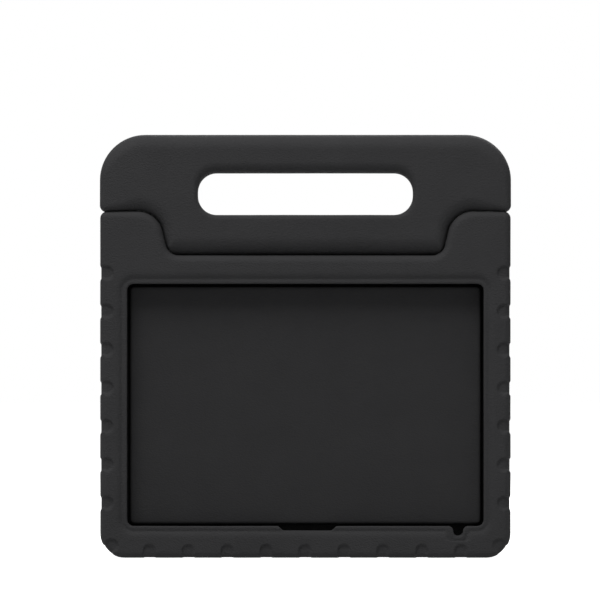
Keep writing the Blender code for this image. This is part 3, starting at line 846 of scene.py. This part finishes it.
def grip_tool():
    """The hand opening, let out towards both faces, and most of all at its top."""
    points = rectangle(
        GRIP_HALF_LENGTH, GRIP_HALF_HEIGHT, GRIP_MIDDLE, GRIP_CORNER, GRIP_STEPS)
    shares = [(z - GRIP_MIDDLE) / GRIP_HALF_HEIGHT for _, z in points]
    radii = [blend(share, GRIP_ROUND, GRIP_TOP_ROUND) for share in shares]
    levels = []
    for turn in quarter_turn(ROUND_STEPS)[:-1]:
        let_out = drawn_in(points, [-r * (1 - cos(turn)) for r in radii])
        levels.append((let_out, [HALF_DEPTH - r * (1 - sin(turn)) for r in radii]))
    past = MM / 10
    over = drawn_in(points, [-r - past for r in radii])
    levels.append((over, [HALF_DEPTH + past] * len(points)))
    rings = [(ring, [-y for y in depth]) for ring, depth in reversed(levels)]
    return stack("grip", rings + levels)


# %% [markdown]
# ## The handle's barrel
#
# The tongue turns between the shoulders, so its lower edge is a barrel. The whole tongue
# could be one turned solid, but from the front the S-curve has to show. So the front is
# rounded by a plain cylinder, and the back is turned from the S-curve itself.

# %% Tools for the barrel
BARREL_INSET = 1.05 * MM + PARTING_DROP


def barrel_front_tool():
    """What rounds the tongue's lower front edge."""
    centre = HINGE_Z - BARREL_INSET
    far = HALF_DEPTH + OVER
    reach = TONGUE_HALF_WIDTH + OVER
    tool = block((-reach, -far, HINGE_Z - PARTING_RISE - OVER), (reach, 0.0, centre))
    barrel = turned([(-reach - OVER, HALF_DEPTH), (reach + OVER, HALF_DEPTH)])
    barrel.data.transform(Matrix.Translation((0.0, 0.0, -BARREL_INSET)))
    combine(tool, barrel)
    return tool


def barrel_back_tool():
    """What the frame takes up behind the handle's wings and round its barrel."""
    far = HALF_DEPTH + OVER
    low = HINGE_Z - PARTING_RISE - OVER
    shift = LEAN_MIDDLE + GAP / 2 + BACK_RELIEF
    high = HINGE_Z + PARTING_RISE + shift - LEAN_MIDDLE
    wall = TONGUE_HALF_WIDTH - GAP / 2
    tool = block((-wall - OVER, 0.0, low), (wall + OVER, far, HINGE_Z))
    curve = [(x, HINGE_Z - z) for x, z in parting_curve(shift)]
    curve = [(x, r) for x, r in curve if r > BACK_RELIEF and x < wall]
    curve.append((wall, BACK_RELIEF))
    combine(tool, turned([(-x, r) for x, r in reversed(curve)] + curve))
    for side in (-1, 1):
        ends = sorted((side * wall, side * (HANDLE_HALF_WIDTH + OVER)))
        combine(tool, block((ends[0], 0.0, low), (ends[1], far, high)), "UNION")
    return tool


# %% Make the handle
PEG_FLANGE_SETBACK = 1.2 * MM


def make_handle():
    """The handle, cut from its outer form and then softened."""
    piece = moulding("foam_handle", handle_outline())
    for make_tool in (grip_tool, barrel_back_tool, barrel_front_tool):
        combine(piece, make_tool())
    flange = TONGUE_HALF_WIDTH - PEG_FLANGE_SETBACK
    for word, side in SIDES:
        near, far, radius = span("hinge_peg_" + word)
        bore(piece, side, near - PLASTIC_GAP, flange + PLASTIC_GAP, radius)
        bore(piece, side, flange, far, JOURNAL_BORE_RADIUS)
    soften(piece)
    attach(piece, "handle")
    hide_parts("handle")
    return piece


foam_handle = make_handle()

# %% [markdown]
# ## The foam's finish
#
# The foam is charcoal, matt, with the fine leathery grain of the mould. The grain could be
# in the mesh, but at a quarter of a millimetre that takes millions of faces, so it is a
# bump: one Voronoi pattern, bent by a noise, and a finer noise for the pores. It lies in
# Object coordinates, so it sticks to the piece when the handle folds. A large soft noise
# varies the colour very slightly. A value stored at each point makes the pad smoother than
# the outer skin, and paints shade: some on the pad, and near black in the channel, which
# light hardly reaches.

# %% A small helper for material nodes
def node(tree, kind, values=None, **settings):
    """Add a shader node, set its properties and its input values."""
    made = tree.nodes.new(kind)
    for name, value in settings.items():
        setattr(made, name, value)
    for name, value in (values or {}).items():
        made.inputs[name].default_value = value
    return made


def new_material(name, values):
    """A new material, its node tree and its shader with these input values."""
    material = bpy.data.materials.new(name)
    material.use_nodes = True
    shader = material.node_tree.nodes["Principled BSDF"]
    for key, value in values.items():
        shader.inputs[key].default_value = value
    return material, material.node_tree, shader


# %% The foam's grain
GRAIN_HEIGHT = 0.24 * MM
GRAIN_TURN = (0.0, radians(28), 0.0)
GRAIN_STRETCH = (0.62, 0.8, 1.0)
GRAIN_BEND = 1.2 * MM
BEND = {"Scale": 260.0, "Detail": 1.0}
PEBBLES = {"Scale": 1250.0, "Randomness": 0.9}
PORES = {"Scale": 2400.0, "Detail": 2.0, "Roughness": 0.6}
PORE_SHARE = 0.5
GRAIN_ON_SKIN = {"To Min": 0.2, "To Max": 0.8}


def add_grain(tree, place, skin, shader):
    """Bump the shader with bent pebbles and pores, less where the stored value is lower, as
    on the smoother pad.
    """
    link = tree.links.new
    drift = node(tree, "ShaderNodeTexNoise", BEND)
    link(place, drift.inputs["Vector"])
    warp = node(tree, "ShaderNodeVectorMath", {"Scale": GRAIN_BEND}, operation="SCALE")
    link(drift.outputs["Color"], warp.inputs[0])
    warped = node(tree, "ShaderNodeVectorMath", operation="ADD")
    link(place, warped.inputs[0])
    link(warp.outputs["Vector"], warped.inputs[1])
    laid = node(tree, "ShaderNodeMapping", {"Rotation": GRAIN_TURN, "Scale": GRAIN_STRETCH})
    link(warped.outputs["Vector"], laid.inputs["Vector"])
    pebbles = node(tree, "ShaderNodeTexVoronoi", PEBBLES)
    link(laid.outputs["Vector"], pebbles.inputs["Vector"])
    pores = node(tree, "ShaderNodeTexNoise", PORES)
    link(place, pores.inputs["Vector"])
    height = node(tree, "ShaderNodeMath", {1: PORE_SHARE}, operation="MULTIPLY_ADD")
    link(pores.outputs["Fac"], height.inputs[0])
    link(pebbles.outputs["Distance"], height.inputs[2])
    strength = node(tree, "ShaderNodeMapRange", GRAIN_ON_SKIN)
    link(skin, strength.inputs["Value"])
    bump = node(tree, "ShaderNodeBump", {"Distance": GRAIN_HEIGHT})
    link(strength.outputs["Result"], bump.inputs["Strength"])
    link(height.outputs[0], bump.inputs["Height"])
    link(bump.outputs["Normal"], shader.inputs["Normal"])


# %% The foam
FOAM_DARK = (0.0185, 0.0185, 0.0194, 1.0)
FOAM_LIGHT = (0.0250, 0.0250, 0.0260, 1.0)
# Painted shade: the near-black colour laid in the pocket's channel and, in part, on the pad.
FOAM_PAINTED_SHADE = (0.0050, 0.0050, 0.0053, 1.0)
FOAM_SURFACE = {"Roughness": 0.75, "Specular IOR Level": 0.12}
FOAM_TONE = {"Scale": 42.0, "Detail": 3.0, "Roughness": 0.55}
# Stored values below this get painted shade, more the lower they are.
PAINTED_SHADE_BELOW = 0.32


def make_foam():
    """Charcoal foam with a moulded leathery grain, smoother in the pocket, with shade
    painted on the pad and in the channel.
    """
    material, tree, shader = new_material("charcoal_foam_skin", FOAM_SURFACE)
    link = tree.links.new
    place = node(tree, "ShaderNodeTexCoord").outputs["Object"]
    skin = node(tree, "ShaderNodeAttribute", attribute_name="skin").outputs["Fac"]
    add_grain(tree, place, skin, shader)
    tone = node(tree, "ShaderNodeTexNoise", FOAM_TONE)
    link(place, tone.inputs["Vector"])
    mix = node(tree, "ShaderNodeMix", data_type="RGBA")
    mix.inputs["A"].default_value = FOAM_DARK
    mix.inputs["B"].default_value = FOAM_LIGHT
    link(tone.outputs["Fac"], mix.inputs["Factor"])
    # Paint shade: mix the tone towards the near-black colour where the stored value is low.
    painted_shade = node(tree, "ShaderNodeMix", data_type="RGBA")
    painted_shade.inputs["A"].default_value = FOAM_PAINTED_SHADE
    unshaded_share = node(tree, "ShaderNodeMapRange", {"From Max": PAINTED_SHADE_BELOW})
    link(skin, unshaded_share.inputs["Value"])
    link(unshaded_share.outputs["Result"], painted_shade.inputs["Factor"])
    link(mix.outputs["Result"], painted_shade.inputs["B"])
    link(painted_shade.outputs["Result"], shader.inputs["Base Color"])
    return material


def dress(piece, material):
    """Give a piece one material."""
    piece.data.materials.clear()
    piece.data.materials.append(material)


foam = make_foam()
for piece in (foam_frame, foam_handle):
    dress(piece, foam)
    print(piece.name, "wears", foam.name)

# %% [markdown]
# ## The hinge's plastic
#
# The pegs and sockets are hard black plastic, hidden inside the hinge. The frame's solids
# have their full shape already, so their meshes stay and only get a finish: a fine satin
# speckle in the roughness, and a very slight bump.

# %% The plastic
PLASTIC_SURFACE = {"Base Color": (0.012, 0.012, 0.013, 1.0), "Specular IOR Level": 0.4}
SPECKLE = {"Scale": 1800.0, "Detail": 2.0}
SATIN = {"To Min": 0.35, "To Max": 0.5}
PLASTIC_BUMP = {"Strength": 0.15, "Distance": 0.05 * MM}


def make_plastic():
    """Black moulded plastic with a fine satin texture."""
    material, tree, shader = new_material("black_hinge_plastic", PLASTIC_SURFACE)
    place = node(tree, "ShaderNodeTexCoord").outputs["Object"]
    speckle = node(tree, "ShaderNodeTexNoise", SPECKLE)
    tree.links.new(place, speckle.inputs["Vector"])
    rough = node(tree, "ShaderNodeMapRange", SATIN)
    tree.links.new(speckle.outputs["Fac"], rough.inputs["Value"])
    tree.links.new(rough.outputs["Result"], shader.inputs["Roughness"])
    bump = node(tree, "ShaderNodeBump", PLASTIC_BUMP)
    tree.links.new(speckle.outputs["Fac"], bump.inputs["Height"])
    tree.links.new(bump.outputs["Normal"], shader.inputs["Normal"])
    return material


plastic = make_plastic()
for name, solid in frame["nodes"].items():
    if name.startswith("hinge_"):
        dress(solid, plastic)
        print(name, "wears", plastic.name)

# %% [markdown]
# ## Floor and surroundings
#
# The picture is a shop photograph, white all round. A white floor and world that light the
# case too would leave no shadow under it, so their white is only for the rays that show
# them: camera, glossy and transmission rays. The light that falls on the case is dimmer.

# %% The rays that show the surroundings
def seen_rays(tree):
    """1 for rays that show the surroundings: camera, glossy and transmission rays."""
    rays = node(tree, "ShaderNodeLightPath")
    total = rays.outputs["Is Camera Ray"]
    for kind in ("Is Glossy Ray", "Is Transmission Ray"):
        both = node(tree, "ShaderNodeMath", operation="MAXIMUM")
        tree.links.new(total, both.inputs[0])
        tree.links.new(rays.outputs[kind], both.inputs[1])
        total = both.outputs[0]
    return total


# %% The floor
FLOOR_SIZE = 6.0
FLOOR_GLOW = 0.9
WHITE = (1.0, 1.0, 1.0, 1.0)
FLOOR_SURFACE = {
    "Base Color": (0.62, 0.62, 0.62, 1.0), "Roughness": 0.9, "Specular IOR Level": 0.0,
    "Emission Color": WHITE}


def make_floor():
    """A pale floor that keeps the case's shadow."""
    mesh = bmesh.new()
    bmesh.ops.create_grid(mesh, x_segments=1, y_segments=1, size=FLOOR_SIZE)
    floor = settle("floor", mesh)
    material, tree, shader = new_material("pale_floor", FLOOR_SURFACE)
    lift = node(tree, "ShaderNodeMath", {1: FLOOR_GLOW}, operation="MULTIPLY")
    tree.links.new(seen_rays(tree), lift.inputs[0])
    tree.links.new(lift.outputs[0], shader.inputs["Emission Strength"])
    dress(floor, material)


make_floor()
print("the floor glows by", FLOOR_GLOW, "where it is seen")

# %% The surroundings
WORLD_LIGHT = 0.19


def make_world():
    """White where it is seen, a dimmer grey for lighting the case."""
    world = bpy.data.worlds.new("studio")
    bpy.context.scene.world = world
    world.use_nodes = True
    tree = world.node_tree
    strength = node(tree, "ShaderNodeMapRange", {"To Min": WORLD_LIGHT, "To Max": 1.0})
    tree.links.new(seen_rays(tree), strength.inputs["Value"])
    background = tree.nodes["Background"]
    background.inputs["Color"].default_value = WHITE
    tree.links.new(strength.outputs["Result"], background.inputs["Strength"])


make_world()
print("the world lights the case by", WORLD_LIGHT)

# %% [markdown]
# ## Light
#
# In the photograph the tops of the rounded edges are the brightest, and a little more so on
# the left. So the main lamp is a large soft box above, in front and to the left. A weak one
# in front lifts the faces, and one behind draws the handle's edge.

# %% The lamps
LAMP_AIM = (0.0, 0.0, 0.12)
LAMPS = (
    ("key", (-0.34, -0.72, 1.56), 0.8, 33.5),
    ("front", (0.3, -1.7, 0.3), 1.0, 2.4),
    ("back", (0.4, 1.3, 0.9), 1.0, 14.0),
)


def soft_light(name, place, size, power):
    """A square soft box that looks at the case."""
    data = bpy.data.lights.new(name, "AREA")
    data.shape = "SQUARE"
    data.size = size
    data.energy = power
    lamp = bpy.data.objects.new(name, data)
    lamp.location = place
    aim = Vector(LAMP_AIM) - Vector(place)
    lamp.rotation_euler = aim.to_track_quat("-Z", "Y").to_euler()
    bpy.context.scene.collection.objects.link(lamp)


for lamp_values in LAMPS:
    soft_light(*lamp_values)
    print("lamp", lamp_values[0], lamp_values[3], "W")

# %% [markdown]
# ## Camera
#
# The photograph has no visible perspective, so the camera is level, far away and has a long
# lens. Its place follows from the picture's scale and from the pixels where the middle and
# the foot of the case lie.

# %% The camera
PICTURE = 600
MM_PER_PIXEL = 0.5274
CASE_MIDDLE_PIXEL = 305.4
CASE_FOOT_PIXEL = 557.7
CAMERA_DISTANCE = 4.0
SHARP_DEPTH = 4.0 * MM
SENSOR = 36.0

field = PICTURE * MM_PER_PIXEL * MM
camera_data = bpy.data.cameras.new("camera")
camera_data.sensor_width = SENSOR
camera_data.lens = SENSOR * (CAMERA_DISTANCE - SHARP_DEPTH) / field
camera = bpy.data.objects.new("camera", camera_data)
across = (PICTURE / 2 - CASE_MIDDLE_PIXEL) * MM_PER_PIXEL * MM
height = (CASE_FOOT_PIXEL - PICTURE / 2) * MM_PER_PIXEL * MM
camera.location = (across, -CAMERA_DISTANCE, height)
camera.rotation_euler = (radians(90), 0.0, 0.0)
bpy.context.scene.collection.objects.link(camera)
bpy.context.scene.camera = camera
bpy.context.scene.view_settings.view_transform = "Standard"
print("the lens is", round(camera_data.lens), "mm long")
